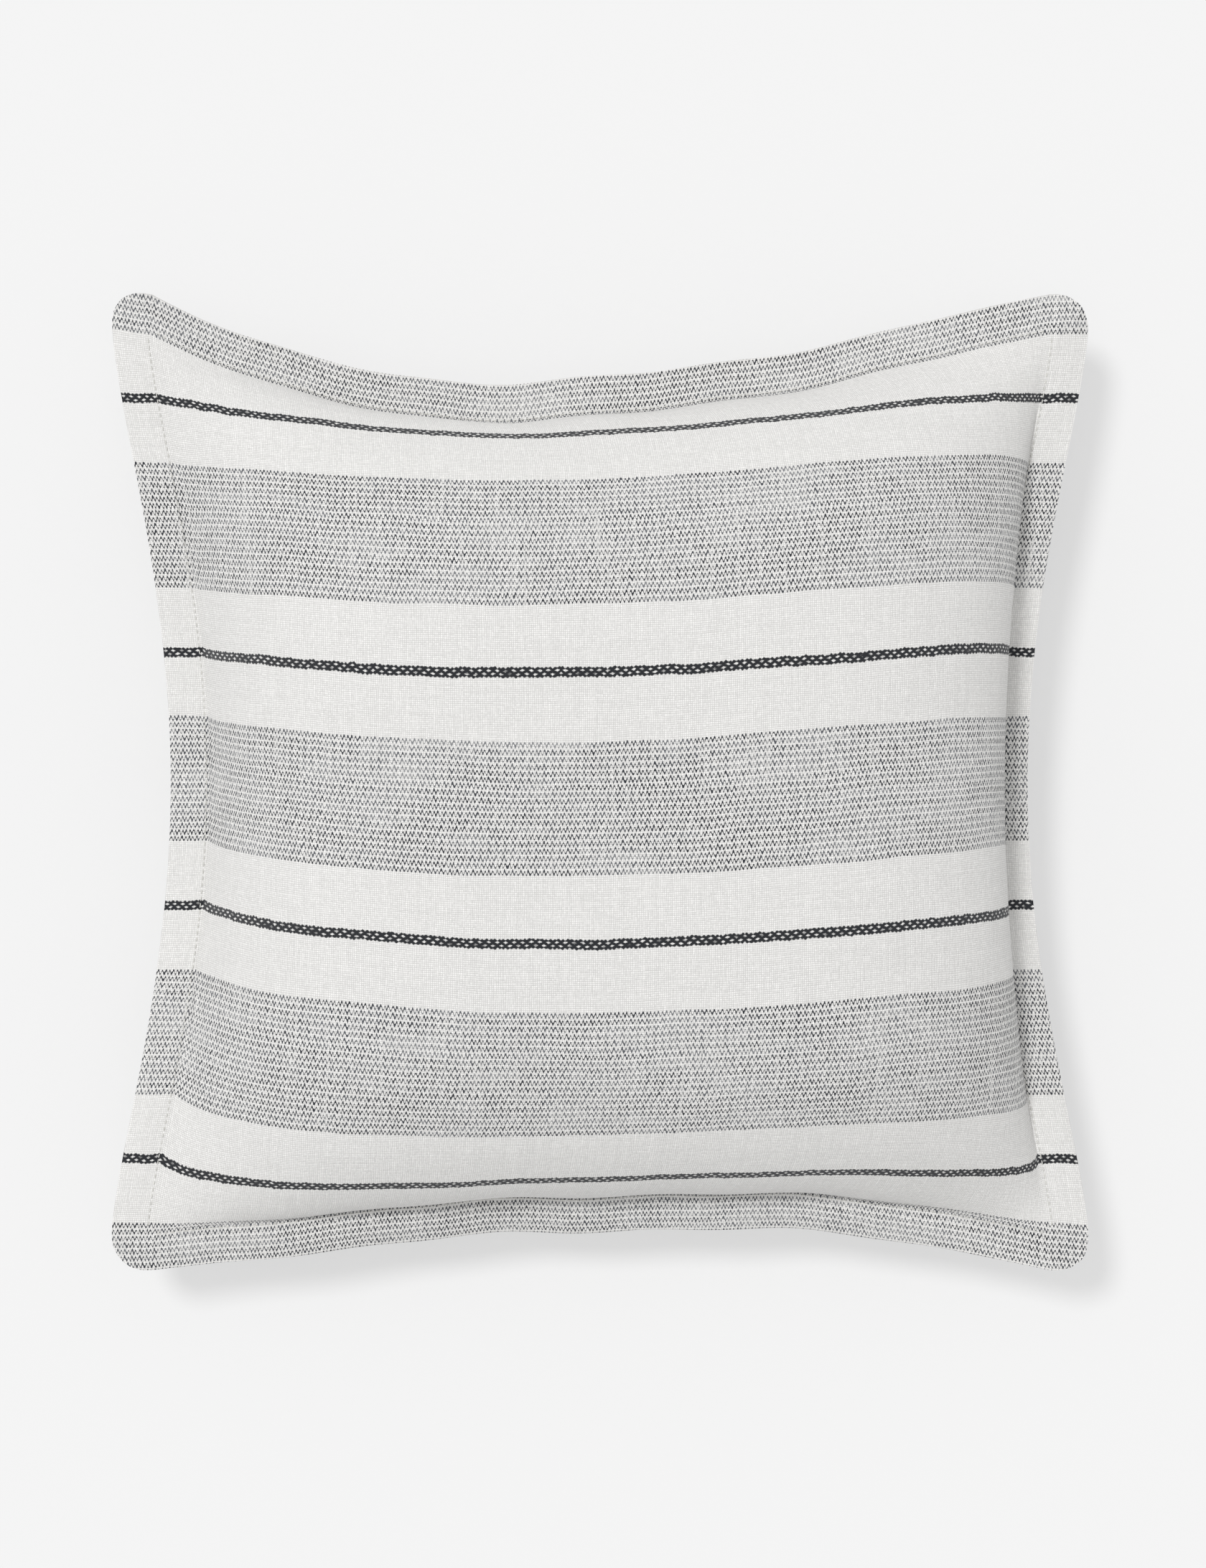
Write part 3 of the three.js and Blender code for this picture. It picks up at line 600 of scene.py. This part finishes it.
def settle(target):
    """Runs the stuffed shape through a cloth simulation whose rest lengths are those of the flat cut.
    The hold on every point is firm in effect: the cloth ends within about 0.3 mm of the target."""
    axis = grid_axis(CELLS)
    s, t = np.meshgrid(axis, axis)
    flat = np.stack([s * SEWN / 2, t * SEWN / 2, 0 * s], -1)
    panel = make_mesh("settling", target, grid_faces(CELLS + 1, CELLS + 1))
    panel.shape_key_add(name="stuffed")
    cut = panel.shape_key_add(name="cut")
    cut.data.foreach_set("co", (flat * MM).astype(np.float32).ravel())
    held = panel.vertex_groups.new(name="held")
    on_seam = ((np.abs(s) == 1) | (np.abs(t) == 1)).ravel()
    held.add([int(i) for i in np.flatnonzero(on_seam)], 1.0, "REPLACE")
    held.add([int(i) for i in np.flatnonzero(~on_seam)], FILL_HOLD, "REPLACE")
    cloth = panel.modifiers.new("cloth", "CLOTH")
    settings = cloth.settings
    settings.quality = 6
    settings.mass = 0.25
    settings.air_damping = 4.0
    settings.tension_stiffness = 40
    settings.compression_stiffness = 30
    settings.shear_stiffness = 2
    settings.bending_stiffness = 0.3
    settings.tension_damping = 10
    settings.compression_damping = 10
    settings.shear_damping = 5
    settings.bending_damping = 0.5
    settings.rest_shape_key = cut
    settings.vertex_group_mass = held.name
    settings.pin_stiffness = 1.0
    settings.use_pressure = True
    settings.uniform_pressure_force = 3.0
    settings.effector_weights.gravity = 0
    cloth.collision_settings.use_collision = False
    cloth.collision_settings.use_self_collision = False
    cloth.point_cache.frame_start = 1
    cloth.point_cache.frame_end = SETTLE_FRAMES
    scene = bpy.context.scene
    for f in range(1, SETTLE_FRAMES + 1):
        scene.frame_set(f)
    lying = panel.evaluated_get(bpy.context.evaluated_depsgraph_get()).data
    solved = np.zeros(len(lying.vertices) * 3, np.float32)
    lying.vertices.foreach_get("co", solved)
    scene.frame_set(1)
    bpy.data.objects.remove(panel)
    return solved.reshape(target.shape).astype(float) / MM


def bisect(piece, point, normal, keep_below=False):
    """Cuts a mesh at a plane, in mm. keep_below drops the side that the normal points to."""
    work = bmesh.new()
    work.from_mesh(piece.data)
    everything = list(work.verts) + list(work.edges) + list(work.faces)
    cut = {"plane_co": Vector(point) * MM, "plane_no": Vector(normal), "clear_outer": keep_below}
    bmesh.ops.bisect_plane(work, geom=everything, dist=1e-7, **cut)
    work.to_mesh(piece.data)
    work.free()


def drop_faces(piece, inside):
    """Removes the faces whose centre, in mm, is inside."""
    work = bmesh.new()
    work.from_mesh(piece.data)
    gone = [f for f in work.faces if inside(f.calc_center_median() / MM)]
    bmesh.ops.delete(work, geom=gone, context="FACES")
    work.to_mesh(piece.data)
    work.free()


def join(piece, other):
    """Adds another piece's mesh to this one."""
    work = bmesh.new()
    work.from_mesh(piece.data)
    work.from_mesh(other.data)
    work.to_mesh(piece.data)
    work.free()
    bpy.data.objects.remove(other)


def strip(name, profile, x, thickness, sag=0.0, steps=60):
    """A woven strip along X. The profile's (y, z) points are those of its lower face, going towards +Y."""
    xs = np.linspace(*x, steps + 1)
    points = [[(px, y, z + sag * math.sin(px * 0.11 + y * 0.3)) for px in xs] for y, z in profile]
    made = make_mesh(name, points, grid_faces(len(xs), len(profile), turned=True))
    thicken(made, thickness)
    return made


def stitches(name, path, length, gap, radius):
    """A row of stitches along a path of points in mm: each dips into the cloth at both ends."""
    path = np.asarray(path, float)
    steps = np.linalg.norm(np.diff(path, axis=0), axis=1)
    far = np.concatenate([[0], np.cumsum(steps)])
    points, faces = [], []
    sides, rings = 6, 5
    count = int(far[-1] // (length + gap))
    pitch = far[-1] / count
    for k in range(count):
        start = k * pitch + gap / 2
        along = np.linspace(start, start + pitch - gap, rings)
        line = np.stack([np.interp(along, far, path[:, i]) for i in range(3)], -1)
        bow = np.sin(np.linspace(0, math.pi, rings))
        line[:, 2] += radius * (1.6 * bow - 1)
        run = line[-1] - line[0]
        run /= np.linalg.norm(run)
        beside = np.cross(run, (0, 0, 1))
        if np.linalg.norm(beside) < 0.1:
            beside = np.array((1.0, 0, 0))
        beside /= np.linalg.norm(beside)
        upright = np.cross(beside, run)
        base = len(points)
        for ring in range(rings):
            size = radius * (0.55 + 0.45 * bow[ring])
            for a in range(sides):
                turn = 2 * math.pi * a / sides
                points.append(line[ring] + size * (math.cos(turn) * beside + math.sin(turn) * upright))
        for ring in range(rings - 1):
            for a in range(sides):
                b = (a + 1) % sides
                low, high = base + ring * sides, base + (ring + 1) * sides
                faces.append((low + a, low + b, high + b, high + a))
        faces.append(tuple(base + a for a in range(sides))[::-1])
        faces.append(tuple(base + (rings - 1) * sides + a for a in range(sides)))
    return make_mesh(name, np.array(points), faces)


def finish_piece(piece, slot, material, *stood_for):
    piece.data.materials.clear()
    piece.data.materials.append(material)
    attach(piece, BODY)
    if stood_for:
        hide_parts(*stood_for)
    return piece


# ---------------------------------------------------------------- the cover
def build_cover(cloth):
    axis = grid_axis(CELLS)
    s, t = np.meshgrid(axis, axis)
    points, places = with_flange(settle(belly(s, t)), SEAM_Z + CLOTH + PLY_GAP / 2)
    n = len(points)
    front = make_mesh("cover_front", points, grid_faces(n, n), places)
    thicken(front, CLOTH)
    finish_piece(front, "striped_cloth", cloth, "front_panel")

    points, places = with_flange(underside(s, t, depth=BACK_DEPTH - CLOTH - PLY_GAP / 2), 0)
    points[..., 2] += SEAM_Z - CLOTH - PLY_GAP / 2
    upper = make_mesh("cover_back_upper", points, grid_faces(n, n, turned=True), places)
    lower = make_mesh("cover_back_lower", points, grid_faces(n, n, turned=True), places)
    bisect(upper, (0, LAP_EDGE, 0), (0, -1, 0), keep_below=True)
    bisect(lower, (0, LAP_EDGE - LAP_SLIT, 0), (0, 1, 0), keep_below=True)
    fold_foot = LAP_EDGE - FOLD_REACH
    bisect(lower, (0, fold_foot, 0), (0, 1, 0))
    bisect(lower, (FOLD_END, 0, 0), (1, 0, 0))
    bisect(lower, (-FOLD_END, 0, 0), (1, 0, 0))
    drop_faces(lower, lambda c: abs(c.x) < FOLD_END and c.y > fold_foot and c.z < SEAM_Z / 2)
    thicken(upper, CLOTH)
    thicken(lower, CLOTH)
    fold = strip(
        "fold",
        [(fold_foot, 0), (ZIP_Y - 15.0, 0), (ZIP_Y - 9.5, FOLD_TOP - CLOTH), (ZIP_Y - 5.1, FOLD_TOP - CLOTH)],
        (-FOLD_END, FOLD_END),
        CLOTH,
    )
    fold_places(fold)
    join(lower, fold)
    finish_piece(upper, "striped_cloth", cloth, "back_panel_upper")
    finish_piece(lower, "striped_cloth", cloth, "back_panel_lower")
    return front


def fold_places(fold):
    """The fold's cloth carries on the lower panel's stripes."""
    co = np.zeros(len(fold.data.vertices) * 3, np.float32)
    fold.data.vertices.foreach_get("co", co)
    co = co.reshape(-1, 3) / MM
    places = np.stack([co[:, 0] + CUT / 2, co[:, 1] + CUT / 2, 0 * co[:, 0]], -1)
    layer = fold.data.attributes.new(CLOTH_PLACE, "FLOAT_VECTOR", "POINT")
    layer.data.foreach_set("vector", np.ascontiguousarray(places, np.float32).ravel())


def seam_path(side, beside, height):
    """Points along one side of the flange, beside mm outside the seam."""
    along = np.linspace(-0.99, 0.99, 120)
    fixed = np.full_like(along, 1.0)
    s, t = {
        "top": (along, fixed),
        "bottom": (along, -fixed),
        "left": (-fixed, along),
        "right": (fixed, along),
    }[side]
    x, y = plan(s, t, SEAM_HALF, 0.0)
    out = {"top": (0, 1), "bottom": (0, -1), "left": (-1, 0), "right": (1, 0)}[side]
    return np.stack([x + out[0] * beside, y + out[1] * beside, np.full_like(x, height)], -1)


def build_thread(thread):
    top = SEAM_Z + CLOTH + PLY_GAP / 2
    for side in ("top", "bottom", "left", "right"):
        row = stitches("flange_row_" + side, seam_path(side, ROW_OUTSIDE_SEAM, top + 0.1), *STITCH)
        finish_piece(row, "stitch_thread", thread, "flange_stitch_" + side)
    for name, node in (("zip_row_upper", "zip_stitch_upper"), ("zip_row_lower", "zip_stitch_lower")):
        low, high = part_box(node)
        y, z = (low.y + high.y) / 2 / MM, low.z / MM
        path = [(low.x / MM, y, z), (high.x / MM, y, z)]
        finish_piece(stitches(name, path, *STITCH), "stitch_thread", thread, node)
    for name, node in (("tack_left", "bar_tack_left"), ("tack_right", "bar_tack_right")):
        low, high = (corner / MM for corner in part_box(node))
        turns = TACK_TURNS
        zigzag = []
        for i in range(turns + 1):
            x = low.x + 0.3 if i % 2 else high.x - 0.3
            zigzag.append((x, low.y + 0.3 + (high.y - low.y - 0.6) * i / turns, low.z + 0.3))
        finish_piece(stitches(name, zigzag, *TACK_STITCH), "stitch_thread", thread, node)


# ---------------------------------------------------------------- the insert
def over_zip(x, y):
    """How much the insert is lifted where it lies over the zip."""
    beside = np.clip((ZIP_ROOM_Y + ZIP_ROOM_EASE - np.abs(y - ZIP_Y)) / ZIP_ROOM_EASE, 0, 1)
    beyond = np.clip((ZIP_ROOM_X + ZIP_ROOM_EASE - np.abs(x)) / ZIP_ROOM_EASE, 0, 1)
    return beside * beside * (3 - 2 * beside) * beyond * beyond * (3 - 2 * beyond)


def insert_layers(inset, gap):
    """Front and back of a layer of the insert, each gap mm inside the cover."""
    axis = np.sin(np.linspace(-1, 1, INSERT_CELLS + 1) * math.pi / 2)
    s, t = np.meshgrid(axis, axis)
    front = belly(s, t, SEAM_HALF - inset, CROWN - 2 * gap)
    back = underside(s, t, SEAM_HALF - inset, BACK_DEPTH - CLOTH - gap)
    lift = over_zip(back[..., 0], back[..., 1]) * (ZIP_ROOM_TOP + gap - CLOTH - gap)
    back[..., 2] += np.clip(lift, 0, np.maximum(0, -back[..., 2]) * 0.9)
    edge = (1 - s * s) * (1 - t * t)
    front[..., 2] -= 1.0 * np.minimum(1, edge * 8) * (1 + np.sin(s * 17 + t * 5) * np.cos(t * 13 - s * 7))
    return front + [0, 0, SEAM_Z + 0.6], back + [0, 0, SEAM_Z - 0.6]


def build_insert(case, fibre, thread):
    n = INSERT_CELLS + 1
    front, back = insert_layers(INSERT_INSET, 1.6)
    front_piece = make_mesh("insert_front", front, grid_faces(n, n))
    back_piece = make_mesh("insert_back", back, grid_faces(n, n, turned=True))
    for piece, node in ((front_piece, "insert_case_front"), (back_piece, "insert_case_back")):
        thicken(piece, CASE_CLOTH)
        finish_piece(piece, "case_cloth", case, node)
    axis = np.linspace(-0.985, 0.985, 90)
    one = np.ones_like(axis)
    edge_s = np.concatenate([axis, one, -axis, -one])
    edge_t = np.concatenate([-one, axis, one, -axis])
    x, y = plan(edge_s, edge_t, SEAM_HALF - INSERT_INSET, 0.0)
    zigzag = np.where(np.arange(len(x)) % 2, 0.6, -0.6)
    x = x + edge_s * (np.abs(edge_s) == 1) * zigzag
    y = y + edge_t * (np.abs(edge_t) == 1) * zigzag
    overlock = np.stack([x, y, np.full_like(x, SEAM_Z)], -1)
    row = stitches("insert_overlock", overlock, *OVERLOCK_STITCH)
    finish_piece(row, "stitch_thread", thread, "insert_seam_stitch")

    front, back = insert_layers(INSERT_INSET + 3, 4.0)
    front[..., 2] = np.maximum(front[..., 2], SEAM_Z + 0.1)
    seam_z = (front[..., 2] + back[..., 2]) / 2
    rim = np.zeros((n, n), bool)
    rim[0], rim[-1], rim[:, 0], rim[:, -1] = True, True, True, True
    front[..., 2] = np.where(rim, seam_z, front[..., 2])
    number = np.arange(n * n)
    below = number + n * n
    below[rim.ravel()] = number[rim.ravel()]
    faces = grid_faces(n, n) + [tuple(int(below[i]) for i in f) for f in grid_faces(n, n, turned=True)]
    points = np.concatenate([front.reshape(-1, 3), back.reshape(-1, 3)])
    core = make_mesh("filling", points, faces)
    work = bmesh.new()
    work.from_mesh(core.data)
    bmesh.ops.delete(work, geom=[v for v in work.verts if not v.link_faces], context="VERTS")
    work.to_mesh(core.data)
    work.free()
    finish_piece(core, "fibre_fill", fibre, "fill_core")


# ---------------------------------------------------------------- the zip and the label
def build_zip(tape, ribbon, teeth, metal):
    end = ZIP_END + ZIP_TAIL
    low_z = CHAIN_Z - 0.25
    landing = 1.1
    bend = 4.8
    upper = [
        (ZIP_Y + TAPE_INNER, low_z),
        (ZIP_Y + bend, low_z),
        (ZIP_Y + bend + 4.8, landing),
        (ZIP_Y + TAPE_OUTER, landing),
    ]
    lower = [(ZIP_Y - TAPE_OUTER, low_z), (ZIP_Y - 8.0, low_z), (ZIP_Y - TAPE_INNER, low_z)]
    tapes = (("tape_upper", upper, "zip_tape_upper"), ("tape_lower", lower, "zip_tape_lower"))
    for name, profile, node in tapes:
        piece = strip(name, profile, (-end, end), TAPE_CLOTH)
        finish_piece(piece, "zip_tape", tape, node)
    low, high = (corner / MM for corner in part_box("care_label"))
    rows = np.linspace(low.y, high.y, 12)
    profile = [(y, low.z + 0.1 + 1.2 * ((y - low.y) / (high.y - low.y)) ** 3) for y in rows]
    label = strip("label", profile, (low.x, high.x), LABEL_CLOTH, steps=8)
    finish_piece(label, "label_ribbon", ribbon, "care_label")
    for node in ("zip_teeth_upper", "zip_teeth_lower"):
        paint(node, teeth)
    stops = ("zip_top_stop_upper", "zip_top_stop_lower", "zip_bottom_stop")
    for node in (*stops, "zip_slider_body", "zip_pull_tab"):
        paint(node, metal)


def paint(node, material):
    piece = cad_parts[node]
    piece.data.materials.clear()
    piece.data.materials.append(material)


studio()
thread = plain_yarn("stitch_thread", linear(226, 225, 220), 0.5)
build_cover(striped_cloth())
build_thread(thread)
build_insert(
    plain_yarn("case_cloth", linear(240, 239, 234), 0.5),
    plain_yarn("fibre_fill", linear(246, 245, 242), 3.0, 0.001),
    thread,
)
build_zip(
    plain_yarn("zip_tape", linear(186, 188, 190), 0.7),
    plain_yarn("label_ribbon", linear(244, 243, 240), 0.3),
    hard_finish("zip_teeth", linear(176, 178, 181), 0.0, 0.45),
    hard_finish("zip_metal", linear(186, 188, 190), 0.9, 0.3),
)
